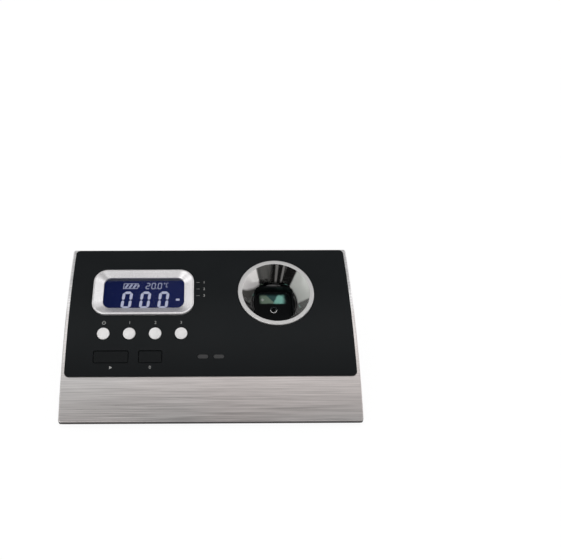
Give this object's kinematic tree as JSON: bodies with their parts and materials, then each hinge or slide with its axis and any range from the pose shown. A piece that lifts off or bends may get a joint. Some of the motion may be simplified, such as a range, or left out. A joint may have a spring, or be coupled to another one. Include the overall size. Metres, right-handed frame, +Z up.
{
  "type": "refracto-polarimeter",
  "caption": "Portable bench refracto-polarimeter: arched steel case, black control panel, backlit display, keys and an open steel sample bowl over the optics.",
  "frame": {"origin": "on the table below the middle of the instrument", "axes": "+X to the user's right, +Y to the back, +Z up; the user stands at -Y"},
  "size_m": [0.17, 0.105, 0.0413],
  "materials": {
    "brushed_cover": "fine brushing along the width",
    "plated_steel": "zinc plated, satin",
    "panel_black": "black satin lacquer",
    "bezel_silver": "silver plated plastic, satin sheen",
    "display_window": "clear pane",
    "gasket_black": "soft black rubber",
    "lcd_glass": "dark blue backlit cell",
    "light_guide": "clear light guide",
    "inner_black": "moulded, fine texture",
    "button_white": "white, low gloss",
    "key_black": "black satin",
    "silicone": "grey translucent silicone",
    "circuit_board": "green solder mask",
    "lamp_lens": "smoked light pipe",
    "polished_steel": "mirror polished stainless steel",
    "well_black": "black, chemically resistant",
    "optical_glass": "polished optical glass",
    "prism_glass": "polished prism, teal cast",
    "sensor_metal": "turned metal",
    "cast_aluminium": "black anodised casting",
    "lamp_amber": "amber epoxy",
    "filter_amber": "interference filter",
    "polariser_film": "grey polarising glass",
    "copper_wire": "enamelled copper winding",
    "chip_black": "moulded epoxy",
    "flat_cable": "flat cable film",
    "tray_black": "moulded, fine spark texture",
    "foot_rubber": "black rubber",
    "battery_case": "plain grey sleeve",
    "spring_steel": "nickel plated spring strip"
  },
  "bodies": {
    "case": {"steel_cover": "brushed_cover", "cover_brackets": "plated_steel", "control_panel": "panel_black", "display_bezel": "bezel_silver", "display_window": "display_window", "display_gasket": "gasket_black", "lcd_module": "lcd_glass", "display_backlight": "light_guide", "display_holder": "inner_black", "key_mat": "silicone", "key_board": "circuit_board", "indicator_lamps": "lamp_lens", "sample_bowl": "polished_steel", "bowl_seal": "gasket_black", "sample_well": "well_black", "well_seal": "gasket_black", "cell_windows": "optical_glass", "window_seals": "gasket_black", "prism": "prism_glass", "prism_seal": "gasket_black", "prism_clip": "plated_steel", "temperature_sensor": "sensor_metal", "optical_bench": "cast_aluminium", "lamp_tube_cap": "cast_aluminium", "detector_tube_cap": "cast_aluminium", "polarimeter_lamp": "lamp_amber", "collimator_lens": "optical_glass", "interference_filter": "filter_amber", "polariser": "polariser_film", "modulator_rod": "optical_glass", "modulator_bobbin": "inner_black", "modulator_winding": "copper_wire", "analyser": "polariser_film", "detector_lens": "optical_glass", "polarimeter_detector": "sensor_metal", "refractometer_lamp": "lamp_amber", "refractometer_lens": "optical_glass", "line_sensor": "chip_black", "sensor_board": "circuit_board", "main_board": "circuit_board", "board_parts": "chip_black", "display_flex": "flat_cable", "inner_screws": "plated_steel", "stage_screws": "plated_steel", "bench_screws": "plated_steel", "board_screws": "plated_steel", "base_screws": "plated_steel", "base_tray": "tray_black", "rubber_feet": "foot_rubber", "battery_cells": "battery_case", "battery_contacts": "spring_steel"},
    "power_button": {"power_button": "button_white"},
    "angle_button": {"angle_button": "button_white"},
    "sugar_button": {"sugar_button": "button_white"},
    "scale_button": {"scale_button": "button_white"},
    "start_key": {"start_key": "key_black"},
    "zero_key": {"zero_key": "key_black"},
    "battery_door": {"battery_door": "tray_black"}
  },
  "joints": [
    {"name": "power_button_press", "type": "slide", "parent": "case", "child": "power_button", "axis": [0, 0.3622, -0.9321], "range_m": [0, 0.0008], "stiffness_N_per_m": 1500, "deforming": ["key_mat"]},
    {"name": "angle_button_press", "type": "slide", "parent": "case", "child": "angle_button", "axis": [0, 0.3622, -0.9321], "range_m": [0, 0.0008], "stiffness_N_per_m": 1500, "deforming": ["key_mat"]},
    {"name": "sugar_button_press", "type": "slide", "parent": "case", "child": "sugar_button", "axis": [0, 0.3622, -0.9321], "range_m": [0, 0.0008], "stiffness_N_per_m": 1500, "deforming": ["key_mat"]},
    {"name": "scale_button_press", "type": "slide", "parent": "case", "child": "scale_button", "axis": [0, 0.3622, -0.9321], "range_m": [0, 0.0008], "stiffness_N_per_m": 1500, "deforming": ["key_mat"]},
    {"name": "start_key_press", "type": "slide", "parent": "case", "child": "start_key", "axis": [0, 0.3622, -0.9321], "range_m": [0, 0.0008], "stiffness_N_per_m": 1500, "deforming": ["key_mat"]},
    {"name": "zero_key_press", "type": "slide", "parent": "case", "child": "zero_key", "axis": [0, 0.3622, -0.9321], "range_m": [0, 0.0008], "stiffness_N_per_m": 1500, "deforming": ["key_mat"]},
    {"name": "battery_door_slide", "type": "slide", "parent": "case", "child": "battery_door", "axis": [0, 1, 0], "range_m": [0, 0.044]}
  ]
}
